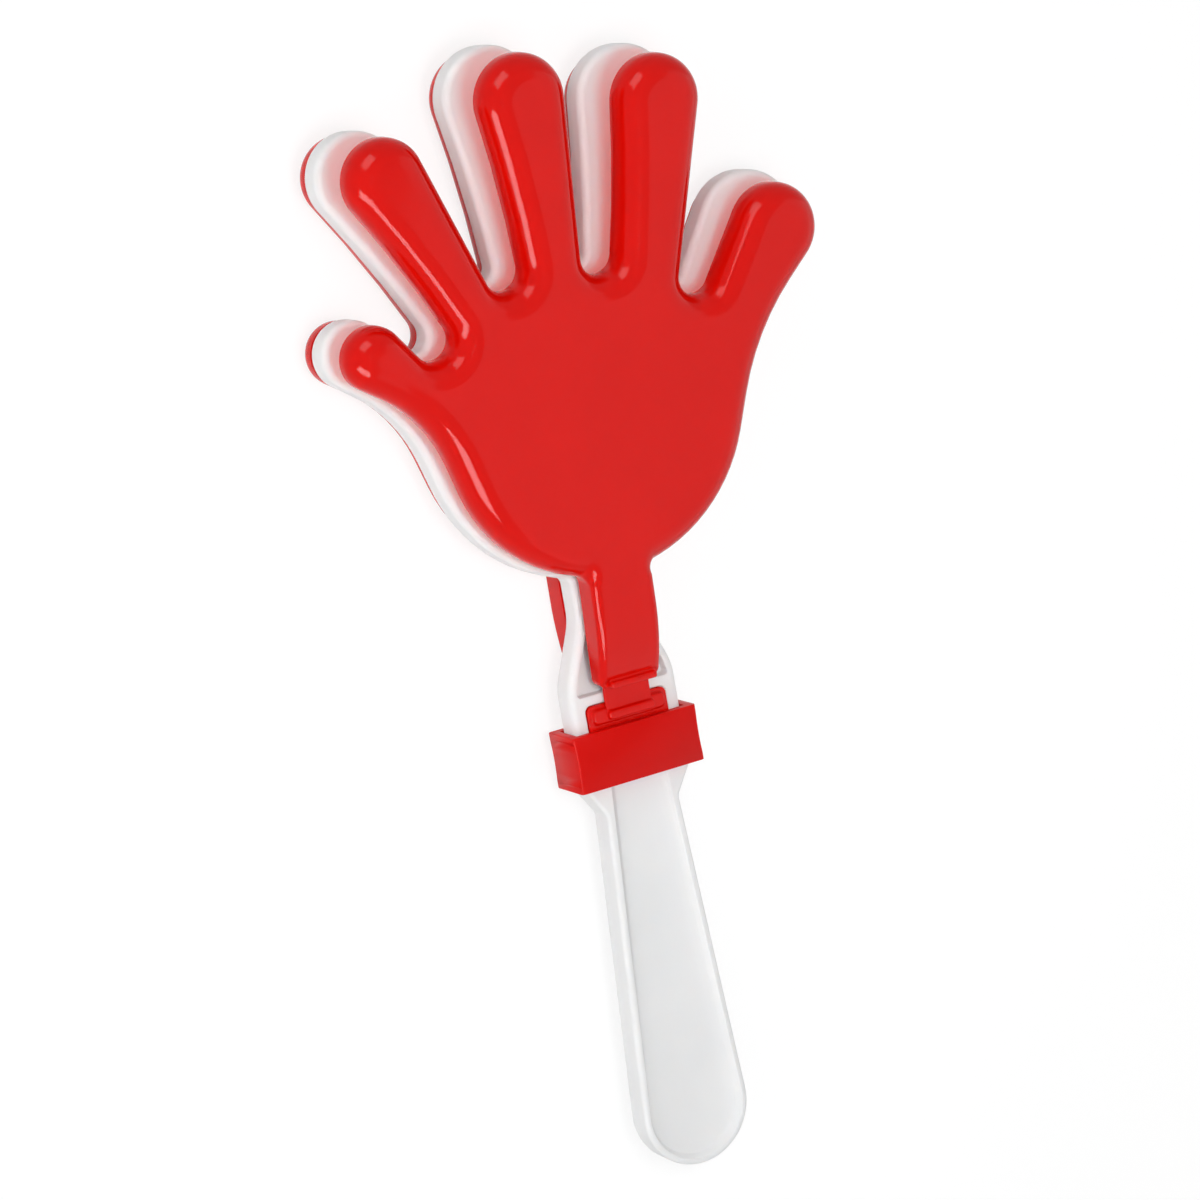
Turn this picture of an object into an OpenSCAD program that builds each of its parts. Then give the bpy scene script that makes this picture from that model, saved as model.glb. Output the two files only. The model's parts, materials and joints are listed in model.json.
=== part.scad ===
// Hand clapper: a white centre hand on a handle, with a red hollow hand hinged to each of its
// faces by a moulded strap, and a red collar that traps the two hinge tabs.
// Lengths in millimetres. X runs across the hand, Y towards the fingers, Z is up.
// The clapper lies on its back: the origin is in the middle of the rear palm's outer face.

/* [Hand outline] */
// From the middle of the collar to the middle of the palm
palm_y = 84; // [76:1:92]
// Sideways offset of the palm towards the little finger
palm_x = 1.5; // [0:0.5:3]
// Radius of the heel of the palm
palm_r = 39.5; // [35:0.5:42]
// From the middle of the palm to the middle of the thumb's tip
thumb_reach = 60.25; // [54:0.25:68]
// Direction of the thumb, in degrees from +X
thumb_angle = 155.5; // [151:0.5:160]
// Radius of the thumb's tip
thumb_tip_r = 7.75; // [6.5:0.25:8.25]
// From the middle of the palm to the middle of the index finger's tip
index_reach = 79.25; // [70:0.25:88]
// Direction of the index finger, in degrees from +X
index_angle = 125.25; // [122:0.25:129]
// Radius of the index finger's tip
index_tip_r = 10; // [9:0.25:12]
// From the middle of the palm to the middle of the middle finger's tip
middle_reach = 76.75; // [68:0.25:86]
// Direction of the middle finger, in degrees from +X
middle_angle = 96.5; // [93:0.5:99]
// From the middle of the palm to the middle of the ring finger's tip
ring_reach = 74.5; // [66:0.5:84]
// Direction of the ring finger, in degrees from +X
ring_angle = 69.25; // [66:0.25:72]
// From the middle of the palm to the middle of the little finger's tip
little_reach = 63.25; // [57:0.25:72]
// Direction of the little finger, in degrees from +X
little_angle = 31.75; // [28:0.25:36]
// Radius of the other three fingers' tips
finger_tip_r = 11; // [9:0.25:12]
// From the middle of the thumb's tip back to the web between thumb and index finger
thumb_web_back = 12.75; // [12:0.25:17]
// Direction of that web, in degrees from +X
thumb_web_angle = 147; // [145:0.5:149]
// From the middle of the palm to the middle of the web between index and middle finger
index_web_reach = 42.75; // [37:0.25:48]
// Direction of that web, in degrees from +X
index_web_angle = 117.25; // [114:0.25:120]
// From the middle of the palm to the middle of the web between middle and ring finger
middle_web_reach = 37.25; // [32:0.25:43]
// Direction of that web, in degrees from +X
middle_web_angle = 81.5; // [78:0.5:85]
// From the middle of the palm to the middle of the web between ring and little finger
ring_web_reach = 40.75; // [35:0.25:46]
// Direction of that web, in degrees from +X
ring_web_angle = 41; // [38:0.5:44]
// Radius of the webs between the fingers
web_r = 4.75; // [3.5:0.25:5.5]
// Radius of the hollow curve down the thumb side of the index, middle and ring fingers
finger_side_r = 160; // [120:5:200]
// Radius of the hollow curve from the thumb's tip to the heel of the palm
thumb_root_r = 36; // [30:1:50]
// Radius of the hollow curve from the heel of the palm to the little finger's tip
little_root_r = 60; // [50:1:90]

/* [Red hands] */
// Depth of a hollow hand from its rim to its outer face
shell_depth = 8; // [7:0.25:10]
// Wall of a hollow hand
shell_wall = 1.5; // [1:0.1:2]
// Radius of the rolled edge round the fingers and the palm
shell_edge_r = 6; // [4:0.25:6.5]
// Gap between a closed hand's rim and the centre hand
rim_gap = 0.3; // [0.2:0.05:0.6]
// Width of the neck below the palm
neck_w = 16.8; // [15:0.2:18]
// Radius of the neck's long edges
neck_edge_r = 2; // [1:0.1:2.1]
// Radius of the neck's two end corners
neck_corner_r = 2.2; // [1.8:0.1:3]
// Radius between the neck and the heel of the palm
neck_fillet_r = 2.5; // [1.5:0.25:4]
// Where the neck's face starts to curve down, from the middle of the collar
neck_bend_y = 36; // [33:0.5:40]
// Radius of that curve
neck_bend_r = 46; // [42:1:70]
// Angle of the front hand as it rests, in degrees from closed
rest_angle = 4.5; // [1:0.5:8]

/* [Hinge] */
// From the middle of the collar to the hinge line
hinge_y = 14.7; // [14:0.1:16]
// Free length of the hinge strap
strap_len = 5.6; // [4.8:0.1:6.4]
// Width of the hinge strap
strap_w = 12.4; // [10:0.2:12.4]
// Thickness of the hinge strap
strap_t = 0.8; // [0.6:0.05:1]
// Width of the hinge tab
tab_w = 21.8; // [20:0.2:22.4]
// Thickness of the hinge tab
tab_t = 1.3; // [1:0.1:1.6]
// How far the tab stands proud of the centre hand's legs
tab_proud = 0.5; // [0.2:0.1:0.7]
// From the middle of the collar to the tab's top edge
tab_top = 12.9; // [12:0.1:13.2]
// From the middle of the collar down to the tab's lower edge
tab_foot = 5; // [3:0.25:6]
// Radius of the tab's top corners
tab_corner_r = 1.5; // [0.5:0.1:2.5]
// Width of the raised pad on the tab
pad_w = 19.6; // [16:0.2:20]
// Height of the raised pad along the clapper
pad_h = 3.6; // [3:0.1:4]
// How far the pad stands up from the tab
pad_t = 1.2; // [1:0.05:1.5]
// Radius of the pad's corners
pad_corner_r = 1.2; // [0.5:0.1:1.4]
// Length of the stop bars on the pad and on the neck
bar_len = 12.6; // [10:0.2:14]
// Height of the pad's stop bar along the clapper
pad_bar_h = 2.1; // [1.6:0.1:2.6]
// How far the pad's stop bar stands up from the pad
pad_bar_t = 1.5; // [0.8:0.1:1.8]
// Thickness of the neck's stop bar along the clapper
neck_bar_h = 1.7; // [1.2:0.1:2]
// Top of the neck's stop bar above the hand's rim plane
neck_bar_top = 6.4; // [5.5:0.1:7]

/* [Centre hand] */
// How far the centre hand reaches past the red hands at the thumb
thumb_margin = 0.4; // [0:0.1:1.5]
// How far the centre hand reaches past the red hands at the little finger
little_margin = 2.4; // [0.5:0.1:3]
// Thickness of the centre hand
plate_t = 7.6; // [6:0.2:9]
// Radius of the centre hand's edges
plate_edge_r = 2.8; // [1.5:0.1:3]
// Width of its neck just below the palm
lyre_top_w = 17.4; // [16:0.2:20]
// Width over the two legs above the collar
lyre_foot_w = 29.4; // [28:0.2:30]
// Radius of the legs' curves
lyre_r = 15; // [12:0.5:17]
// Where the legs start to spread, from the middle of the collar
lyre_spread_y = 36; // [34:0.5:39]
// Where the legs are fully spread, from the middle of the collar
lyre_foot_y = 15; // [13:0.5:17]
// Width of a leg
leg_w = 2.3; // [2:0.1:3]
// Depth of the pocket between the legs, from each face
pocket_depth = 2.8; // [2:0.1:3.2]
// Height of the crossbar between the pocket and the tab
crossbar_h = 2.4; // [1.8:0.1:3]
// Radius of the pocket's lower corners
pocket_corner_r = 1; // [0.5:0.1:2]
// Radius of the pocket's top corners
pocket_top_r = 3; // [1.5:0.25:3.5]

/* [Handle] */
// From the middle of the collar to the handle's lower end
handle_len = 107; // [90:1:130]
// Width of the handle just below its shoulders
handle_top_w = 20.2; // [18:0.2:23]
// Width of the handle at its round end
handle_end_w = 29; // [25:0.2:29.2]
// Thickness of the handle
handle_t = 7.8; // [7:0.2:8.4]
// Radius of the handle's edges
handle_edge_r = 1.1; // [0.6:0.1:1.6]
// From the middle of the collar to the top of the shoulders
shoulder_top_y = 7; // [6.5:0.25:9]
// From the top of the shoulders to their foot
shoulder_h = 8.5; // [7:0.5:12]
// Radius at the bottom of the shoulders
shoulder_foot_r = 3; // [2:0.25:5]
// Radius at the top of the shoulders
shoulder_top_r = 2.6; // [1:0.1:3]
// Width of the rim round the panels that are sunk into the handle's two faces
handle_rim_w = 1.7; // [1.3:0.1:2.2]
// How far a panel's walls lean in from its mouth to its floor
panel_lean = 0.7; // [0.3:0.1:1]
// Depth of a panel below its rim
panel_depth = 2.8; // [1:0.1:3]
// Wall between a panel and the tab's recess above it
panel_shelf = 0.9; // [0.6:0.1:1.5]

/* [Collar] */
// Width of the collar
collar_w = 34.2; // [33:0.2:37]
// Height of the collar along the clapper
collar_h = 14; // [11:0.5:15]
// Depth of the collar from front to back
collar_d = 13.5; // [12:0.1:15]
// Radius of the collar's outer corners
collar_corner_r = 0.8; // [0.4:0.1:2]
// How far the collar's end walls are drawn in at mid height
collar_draw = 0.4; // [0.1:0.05:0.6]

/* [Clearances] */
// Gap on each side of a tab in its recess
tab_clearance = 0.2; // [0.1:0.05:0.3]
// Gap round what the collar slides over
collar_clearance = 0.15; // [0.1:0.05:0.3]

/* [Hidden] */
$fn = 48;
red = [0.83, 0.14, 0.12];
white = [0.93, 0.93, 0.92];
// Largest distance between a true arc and the chord that stands for it
chord_error = 0.1;
// Number of flats round a rolled edge, outside and inside
edge_steps = 4;
inner_steps = 3;
// Number of flats along the curved neck face
bend_steps = 4;
// Straight stretch left between two curves that would otherwise just touch
straight = 0.4;
// Room left where a fillet meets the heel of the palm
touch = 0.04;
// Overlap that fuses two shapes of one moulding
fuse = 0.6;
// Smallest radius that an edge leaves at a corner
least_r = 0.2;

thumb_web_reach = thumb_reach - thumb_web_back;
plate_z = plate_t / 2;
rim_z = plate_z + rim_gap;
rest_z = rim_z + shell_depth;
neck_x = neck_w / 2;
neck_edge = min(neck_edge_r, neck_corner_r - least_r);
strap_end_y = hinge_y + strap_len / 2;
pad_top = hinge_y - strap_len / 2;
tab_face_z = plate_z + tab_proud;
pad_face_z = tab_face_z + pad_t;
hinge_z = pad_face_z - strap_t / 2;
recess_top = tab_top + tab_clearance;
pocket_foot = recess_top + crossbar_h;
lyre_top_x = lyre_top_w / 2;
lyre_foot_x = lyre_foot_w / 2;
tongue_x = lyre_foot_x - fuse / 2;
shoulder_foot_y = shoulder_top_y + shoulder_h;
handle_z = handle_t / 2;
handle_end_r = handle_end_w / 2;
handle_end_y = handle_end_r - handle_len;
panel_top_y = tab_foot + tab_clearance + panel_shelf;
panel_corner_r = panel_lean + least_r;
collar_in_x = lyre_foot_x + collar_clearance;
collar_in_z = max(tab_face_z, handle_z) + collar_clearance;
collar_draw_r = (pow(collar_h / 2, 2) + pow(collar_draw, 2)) / (2 * collar_draw);

function polar(reach, angle) = [palm_x + reach * cos(angle), palm_y + reach * sin(angle)];
function mirrored(c) = [-c[0], c[1], c[2]];
function turned(a) = a - 360 * floor(a / 360);
function reversed(list) = [for (i = [len(list) - 1 : -1 : 0]) list[i]];

// A circle is [x, y, r]: the outline runs counter-clockwise round it where r is positive,
// and clockwise, as a hollow curve, where r is negative.
// Direction of the straight line that leaves circle a and meets circle b
function tangent(a, b) = atan2(b[1] - a[1], b[0] - a[0])
    + asin((a[2] - b[2]) / norm([b[0] - a[0], b[1] - a[1]]));

// Points round one circle from direction d_in to direction d_out, each with its outward normal
function arc(c, d_in, d_out) =
    let (turn = c[2] > 0 ? turned(d_out - d_in) : -turned(d_in - d_out),
        steps = max(1, ceil(abs(turn) / (2 * acos(1 - chord_error / max(abs(c[2]), 2 * chord_error))))))
    [for (k = [0 : steps]) let (d = d_in + turn * k / steps)
        [c[0] + c[2] * sin(d), c[1] - c[2] * cos(d), sin(d), -cos(d)]];

// Outline that runs round a row of circles, from direction first to direction last
function belt_run(c, first, last) =
    let (end = len(c) - 1, d = [for (i = [0 : end - 1]) tangent(c[i], c[i + 1])])
    [for (i = [0 : end]) each arc(c[i], i == 0 ? first : d[i - 1], i == end ? last : d[i])];

// Closed outline round a ring of circles
function belt(c) = let (join = tangent(c[len(c) - 1], c[0])) belt_run(c, join, join);

function plan(outline) = [for (p = outline) [p[0], p[1]]];

// Circle in the corner between a neck of half width x and the heel of a palm that is larger by grow
function heel_fillet(x, side, grow) =
    let (r = neck_fillet_r, reach = palm_r + grow + r + touch)
    [side * (x + r), palm_y - sqrt(pow(reach, 2) - pow(side * (x + r) - palm_x, 2)), -r];

// Hollow curve of radius r that leads from circle a to circle b
function hollow(r, a, b) =
    let (from_a = a[2] + r + straight, from_b = b[2] + r + straight,
        gap = [b[0] - a[0], b[1] - a[1]],
        cosine = (pow(from_a, 2) + pow(norm(gap), 2) - pow(from_b, 2)) / (2 * from_a * norm(gap)),
        turn = atan2(gap[1], gap[0]) - acos(cosine))
    [a[0] + from_a * cos(turn), a[1] + from_a * sin(turn), -r];

// Heel, roots, fingers and webs of a hand, counter-clockwise from the right of the neck.
// The hand is larger by at_thumb at its thumb and by at_little at its little finger: a circle's
// share says where it lies between the two.
function hand_circles(at_thumb, at_little) =
    let (grown = function (p, r, share) [p[0], p[1], r + at_thumb + (at_little - at_thumb) * share],
        palm = grown([palm_x, palm_y], palm_r, 0.5),
        little = grown(polar(little_reach, little_angle), finger_tip_r, 1),
        ring_web = grown(polar(ring_web_reach, ring_web_angle), -web_r, 0.875),
        ring_tip = grown(polar(ring_reach, ring_angle), finger_tip_r, 0.75),
        middle_web = grown(polar(middle_web_reach, middle_web_angle), -web_r, 0.625),
        middle = grown(polar(middle_reach, middle_angle), finger_tip_r, 0.5),
        index_web = grown(polar(index_web_reach, index_web_angle), -web_r, 0.375),
        index = grown(polar(index_reach, index_angle), index_tip_r, 0.25),
        thumb_web = grown(polar(thumb_web_reach, thumb_web_angle), -web_r, 0.125),
        thumb = grown(polar(thumb_reach, thumb_angle), thumb_tip_r, 0))
    [palm, hollow(little_root_r, palm, little),
        little, ring_web,
        ring_tip, hollow(finger_side_r, ring_tip, middle_web), middle_web,
        middle, hollow(finger_side_r, middle, index_web), index_web,
        index, hollow(finger_side_r, index, thumb_web), thumb_web,
        thumb, hollow(thumb_root_r, thumb, palm), palm];

// Closed surface through rings of points, with its first and last ring filled by cap
module loft(rings, cap) {
    n = len(rings[0]);
    last = (len(rings) - 1) * n;
    sides = [for (k = [0 : len(rings) - 2]) for (i = [0 : n - 1])
        let (a = k * n + i, b = k * n + (i + 1) % n) each [[a, a + n, b + n], [a, b + n, b]]];
    tops = [for (f = cap) [for (i = reversed(f)) last + i]];
    polyhedron([for (ring = rings) each ring], concat(sides, cap, tops));
}

// An outline whose first and last points mirror each other: one side, what lies between, the other side
function two_sided(side, between) = concat(side, between,
    [for (p = reversed(side)) [-p[0], p[1], -p[2], p[3]]]);

// Closed outline whose right side is a run that starts at its lowest point, in the middle
function from_bottom(run) =
    two_sided([for (i = [len(run) - 1 : -1 : 1]) let (p = run[i]) [-p[0], p[1], -p[2], p[3]]], [run[0]]);

// Faces that fill such an outline of n points: strips across its two sides, and one face between
function strip_cap(n, side) = concat(
    n > 2 * side ? [[for (i = [side - 1 : n - side]) i]] : [],
    [for (i = [0 : side - 2]) [i, i + 1, n - 2 - i, n - 1 - i]]);

// One ring: the outline moved in by inset, at height z
function ring(outline, inset, z) = [for (p = outline) [p[0] - inset * p[2], p[1] - inset * p[3], z]];

// Flat slab of half thickness z whose edges are rounded by r on both faces
module rounded_slab(outline, side, z, r) {
    quarter = [for (k = [0 : inner_steps]) let (a = 90 * k / inner_steps)
        [r * (1 - cos(a)), z - r * (1 - sin(a))]];
    rings = concat(
        [for (q = reversed(quarter)) ring(outline, q[0], -q[1])],
        [for (q = quarter) ring(outline, q[0], q[1])]);
    loft(rings, strip_cap(len(outline), side));
}

// Rectangle of width w from y0 to y1, with its lower and its upper corners rounded
function rounded_box(w, y0, y1, r_low, r_top) = let (x = w / 2) plan(belt([
    [x - r_low, y0 + r_low, r_low], [x - r_top, y1 - r_top, r_top],
    [r_top - x, y1 - r_top, r_top], [r_low - x, y0 + r_low, r_low]]));

// Height of the red neck's face above the rim plane, at y
function neck_face(y) = let (d = max(0, neck_bend_y - y))
    shell_depth - neck_bend_r + sqrt(pow(neck_bend_r, 2) - pow(d, 2));

// Right side of the red neck, from its end corner up to where its face turns flat
neck_corner = [neck_x - neck_corner_r, strap_end_y + neck_corner_r, neck_corner_r];
neck_side = concat(arc(neck_corner, 0, 90),
    [for (k = [1 : bend_steps]) [neck_x,
        neck_corner[1] + (neck_bend_y - neck_corner[1]) * k / bend_steps, 1, 0]]);
red_hand = hand_circles(0, 0);
red_heel = [for (side = [1, -1]) heel_fillet(neck_x, side, 0)];
heel_right = arc(red_heel[0], 90, tangent(red_heel[0], red_hand[0]));
heel_left = arc(red_heel[1], tangent(red_hand[0], red_heel[1]), 270);
hand_run = belt_run(red_hand, tangent(red_heel[0], red_hand[0]), tangent(red_hand[0], red_heel[1]));
shell_outline = two_sided(neck_side, concat(heel_right, hand_run, heel_left));
hand_edge = min(shell_edge_r, thumb_tip_r - least_r);
heel_count = len(heel_right);
// Edge radius at each point of the shell: small on the neck, full on the hand
shell_edges = concat([for (p = neck_side) neck_edge],
    [for (i = [1 : heel_count]) neck_edge + (hand_edge - neck_edge) * i / heel_count],
    [for (p = hand_run) hand_edge],
    [for (i = [len(heel_left) : -1 : 1]) neck_edge + (hand_edge - neck_edge) * i / len(heel_left)],
    [for (p = neck_side) neck_edge]);

// Ring of the shell at angle a round its rolled edge, with the wall taken off
function shell_ring(a, wall) = [for (i = [0 : len(shell_outline) - 1])
    let (p = shell_outline[i], r = max(shell_edges[i] - wall, least_r),
        inset = wall + r * (1 - cos(a)))
    [p[0] - inset * p[2], p[1] - inset * p[3], neck_face(p[1]) - wall - r * (1 - sin(a))]];

// Hollow hand with a rolled edge, open towards its rim plane at z = 0
module hand_shell() {
    rings = concat(
        [for (k = [inner_steps : -1 : 0]) shell_ring(90 * k / inner_steps, shell_wall)],
        [ring(shell_outline, shell_wall, 0), ring(shell_outline, 0, 0)],
        [for (k = [0 : edge_steps]) shell_ring(90 * k / edge_steps, 0)]);
    loft(rings, strip_cap(len(shell_outline), len(neck_side)));
}

// Bar with round ends across the clapper, from y0 to y1 and from z0 to z1
module stop_bar(y0, y1, z0, z1) {
    r = (y1 - y0) / 2 - least_r;
    translate([0, 0, z0]) linear_extrude(z1 - z0) polygon(rounded_box(bar_len, y0, y1, r, r));
}

// Hollow hand with its neck and stop bar, closed on the front of the centre hand
module closed_hand() {
    translate([0, 0, rim_z]) {
        hand_shell();
        stop_bar(strap_end_y, strap_end_y + neck_bar_h, shell_wall, neck_bar_top);
    }
}

// Turns what it holds about the front hinge line
module opened(angle) {
    translate([0, hinge_y, hinge_z]) rotate([angle, 0, 0]) translate([0, -hinge_y, -hinge_z]) children();
}

// Hinge strap of a front hand that stands open by angle: straight on both sides of the hinge line
module strap(angle) {
    half = strap_t / 2;
    mitre = half / cos(angle / 2);
    end = strap_len / 2;
    side = [[-end, -half], [mitre * sin(angle / 2), -mitre * cos(angle / 2)],
        [end * cos(angle) + half * sin(angle), end * sin(angle) - half * cos(angle)],
        [end * cos(angle) - half * sin(angle), end * sin(angle) + half * cos(angle)],
        [-mitre * sin(angle / 2), mitre * cos(angle / 2)], [-end, half]];
    translate([-strap_w / 2, hinge_y, hinge_z]) rotate([90, 0, 90]) linear_extrude(strap_w) polygon(side);
}

// Tab that sits in the centre hand's recess, with the pad that carries the strap and a stop bar
module tab() {
    bar_y = pad_top - pad_h / 2;
    translate([0, 0, tab_face_z - tab_t]) linear_extrude(tab_t)
        polygon(rounded_box(tab_w, -tab_foot, tab_top, least_r, tab_corner_r));
    translate([0, 0, tab_face_z - fuse / 2]) linear_extrude(pad_t + fuse / 2)
        polygon(rounded_box(pad_w, pad_top - pad_h, pad_top, pad_corner_r, pad_corner_r));
    stop_bar(bar_y - pad_bar_h / 2, bar_y + pad_bar_h / 2, pad_face_z - fuse / 2, pad_face_z + pad_bar_t);
}

// Curves of the right leg, from the collar up, moved in by inset
function leg_circles(inset) = [
    [lyre_foot_x - lyre_r, lyre_foot_y, lyre_r - inset],
    [lyre_top_x + lyre_r, lyre_spread_y, -lyre_r - inset]];

// Centre hand with its legs, down to where it fuses with the handle inside the collar
module centre_slab() {
    corner = [lyre_foot_x - plate_edge_r - least_r, -fuse, plate_edge_r + least_r];
    heel = [for (side = [1, -1]) heel_fillet(lyre_top_x, side, (thumb_margin + little_margin) / 2)];
    top = [lyre_top_x, min(heel[0][1], heel[1][1]) - straight, 1, 0];
    side = concat(belt_run(concat([corner], leg_circles(0)), 0, 90), [top]);
    hand = belt_run(concat([heel[0]], hand_circles(thumb_margin, little_margin), [heel[1]]), 90, 270);
    rounded_slab(two_sided(side, hand), len(side), plate_z, plate_edge_r);
}

// Pocket between the legs, cut from the front face
module leg_pocket() {
    low = [lyre_foot_x - leg_w - pocket_corner_r, pocket_foot + pocket_corner_r, pocket_corner_r];
    top = [lyre_top_x - leg_w - pocket_top_r, lyre_spread_y + pocket_top_r / 2, pocket_top_r];
    right = concat([low], leg_circles(leg_w), [top]);
    outline = belt(concat(right, [for (c = reversed(right)) mirrored(c)]));
    translate([0, 0, plate_z - pocket_depth]) linear_extrude(pocket_depth + fuse) polygon(plan(outline));
}

// Recess that holds a tab, cut from the front face
module tab_recess() {
    floor_z = tab_face_z - tab_t - tab_clearance / 2;
    w = tab_w + 2 * tab_clearance;
    foot = -tab_foot - tab_clearance;
    translate([0, 0, floor_z]) linear_extrude(max(plate_z, handle_z) - floor_z + fuse)
        polygon(rounded_box(w, foot, recess_top, least_r, tab_corner_r + tab_clearance));
}

// Handle with shoulders below the collar and a tongue that fuses with the centre hand
module handle_slab() {
    run = belt_run([
        [0, handle_end_y, handle_end_r],
        [handle_top_w / 2 + shoulder_foot_r, -shoulder_foot_y, -shoulder_foot_r],
        [tongue_x - shoulder_top_r, -shoulder_top_y, shoulder_top_r],
        [tongue_x - handle_edge_r - least_r, fuse + plate_edge_r, handle_edge_r + least_r]], 0, 180);
    rounded_slab(from_bottom(run), len(run) - 1, handle_z, handle_edge_r);
}

// Panel sunk into the handle, cut from the front face: its rim follows the handle's outline, and its
// top end lies inside the collar
module handle_panel() {
    run = belt_run([
        [0, handle_end_y, handle_end_r - handle_rim_w],
        [handle_top_w / 2 + shoulder_foot_r, -shoulder_foot_y, -shoulder_foot_r - handle_rim_w],
        [tongue_x - handle_rim_w - panel_corner_r, -panel_top_y - panel_corner_r, panel_corner_r]], 0, 180);
    outline = from_bottom(run);
    loft([ring(outline, panel_lean, handle_z - panel_depth), ring(outline, 0, handle_z),
        ring(outline, 0, handle_z + fuse)], strip_cap(len(outline), len(run) - 1));
}

// Puts a shape that is cut from the front face on the rear face too
module both_faces() {
    children();
    mirror([0, 0, 1]) children();
}

// Moves a piece from the collar's middle to its place on the table
module placed() {
    translate([-palm_x, -palm_y, rest_z]) children();
}

module centre_hand() {
    color(white) placed() difference() {
        union() {
            centre_slab();
            handle_slab();
        }
        both_faces() {
            leg_pocket();
            tab_recess();
            handle_panel();
        }
    }
}

module front_hand() {
    color(red) placed() opened(rest_angle) closed_hand();
}

module rear_hand() {
    color(red) placed() mirror([0, 0, 1]) closed_hand();
}

module front_hinge_strap() {
    color(red) placed() strap(rest_angle);
}

module rear_hinge_strap() {
    color(red) placed() mirror([0, 0, 1]) strap(0);
}

module front_hinge_tab() {
    color(red) placed() tab();
}

module rear_hinge_tab() {
    color(red) placed() mirror([0, 0, 1]) tab();
}

// Rectangular sleeve with slightly drawn-in end walls
module collar() {
    r = collar_corner_r;
    x = collar_w / 2;
    color(red) placed() difference() {
        rotate([90, 0, 0]) translate([0, 0, -collar_h / 2]) linear_extrude(collar_h) difference() {
            polygon(rounded_box(collar_w, -collar_d / 2, collar_d / 2, r, r));
            square([2 * collar_in_x, 2 * collar_in_z], center = true);
        }
        for (side = [-1, 1])
            translate([side * (x + collar_draw_r - collar_draw), 0, -collar_d])
                cylinder(r = collar_draw_r, h = 2 * collar_d, $fn = 180);
    }
}

centre_hand();
front_hand();
rear_hand();
front_hinge_strap();
rear_hinge_strap();
front_hinge_tab();
rear_hinge_tab();
collar();
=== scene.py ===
"""Hand clapper: its looks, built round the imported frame.

Lengths are millimetres measured from the middle of the collar, with X across the hand, Y towards
the fingers and Z towards the front. PLACE turns them into the frame's metres.
"""
import json
import math

import bmesh
import bpy
from mathutils import Matrix, Vector


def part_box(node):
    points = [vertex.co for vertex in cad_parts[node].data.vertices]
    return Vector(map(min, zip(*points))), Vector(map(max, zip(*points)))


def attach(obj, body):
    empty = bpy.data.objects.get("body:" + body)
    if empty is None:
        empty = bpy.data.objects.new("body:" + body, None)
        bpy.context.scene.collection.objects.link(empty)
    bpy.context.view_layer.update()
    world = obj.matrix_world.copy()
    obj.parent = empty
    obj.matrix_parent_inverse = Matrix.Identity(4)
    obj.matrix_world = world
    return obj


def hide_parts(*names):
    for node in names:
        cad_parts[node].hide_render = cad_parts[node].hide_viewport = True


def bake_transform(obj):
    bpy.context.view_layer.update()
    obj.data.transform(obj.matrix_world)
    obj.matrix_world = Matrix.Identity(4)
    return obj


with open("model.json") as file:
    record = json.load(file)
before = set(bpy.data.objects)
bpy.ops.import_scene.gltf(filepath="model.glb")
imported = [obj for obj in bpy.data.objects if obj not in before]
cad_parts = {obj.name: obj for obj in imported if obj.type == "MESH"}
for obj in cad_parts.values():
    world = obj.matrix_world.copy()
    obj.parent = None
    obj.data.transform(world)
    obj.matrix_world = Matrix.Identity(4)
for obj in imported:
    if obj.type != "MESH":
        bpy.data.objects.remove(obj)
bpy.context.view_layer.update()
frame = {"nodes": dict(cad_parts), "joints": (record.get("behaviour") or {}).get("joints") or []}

# Places taken from the frame
MM = 0.001
collar_low, collar_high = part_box("collar")
ORIGIN = (collar_low + collar_high) / 2
PLACE = Matrix.Translation(ORIGIN) @ Matrix.Scale(MM, 4)
JOINTS = {joint["name"]: joint for joint in frame["joints"]}
PIVOT = PLACE.inverted() @ Vector(JOINTS["front_hinge"]["pos_m"])
REST_ANGLE = math.radians(-JOINTS["front_hinge"]["range_deg"][0])
OPENED = Matrix.Translation(PIVOT) @ Matrix.Rotation(REST_ANGLE, 4, "X") @ Matrix.Translation(-PIVOT)
MIRRORED = Matrix.Scale(-1, 4, (0, 0, 1))

# Hand outline: reach from the palm's middle, direction in degrees and radius of each tip and web
PALM = (1.5, 84.0)
PALM_R = 39.5
THUMB = (60.25, 155.5, 7.75)
INDEX = (79.25, 125.25, 10.0)
MIDDLE = (76.75, 96.5, 11.0)
RING = (74.5, 69.25, 11.0)
LITTLE = (63.25, 31.75, 11.0)
WEB_R = 4.75
THUMB_WEB = (47.5, 147.0, -WEB_R)
INDEX_WEB = (42.75, 117.25, -WEB_R)
MIDDLE_WEB = (37.25, 81.5, -WEB_R)
RING_WEB = (40.75, 41.0, -WEB_R)
FINGER_SIDE_R = 160.0
THUMB_ROOT_R = 36.0
LITTLE_ROOT_R = 60.0
STRAIGHT = 0.4
TOUCH = 0.04

# Red hands
SHELL_DEPTH = 8.0
SHELL_WALL = 1.5
HAND_EDGE_R = 6.0
NECK_EDGE_R = 2.0
NECK_X = 8.4
NECK_CORNER_R = 2.2
NECK_FILLET_R = 2.5
NECK_BEND_Y = 36.0
NECK_BEND_R = 46.0
RIM_FILLET_R = 0.3
FLAT_SHARE = 1.05
LEAST_R = 0.2

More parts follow.
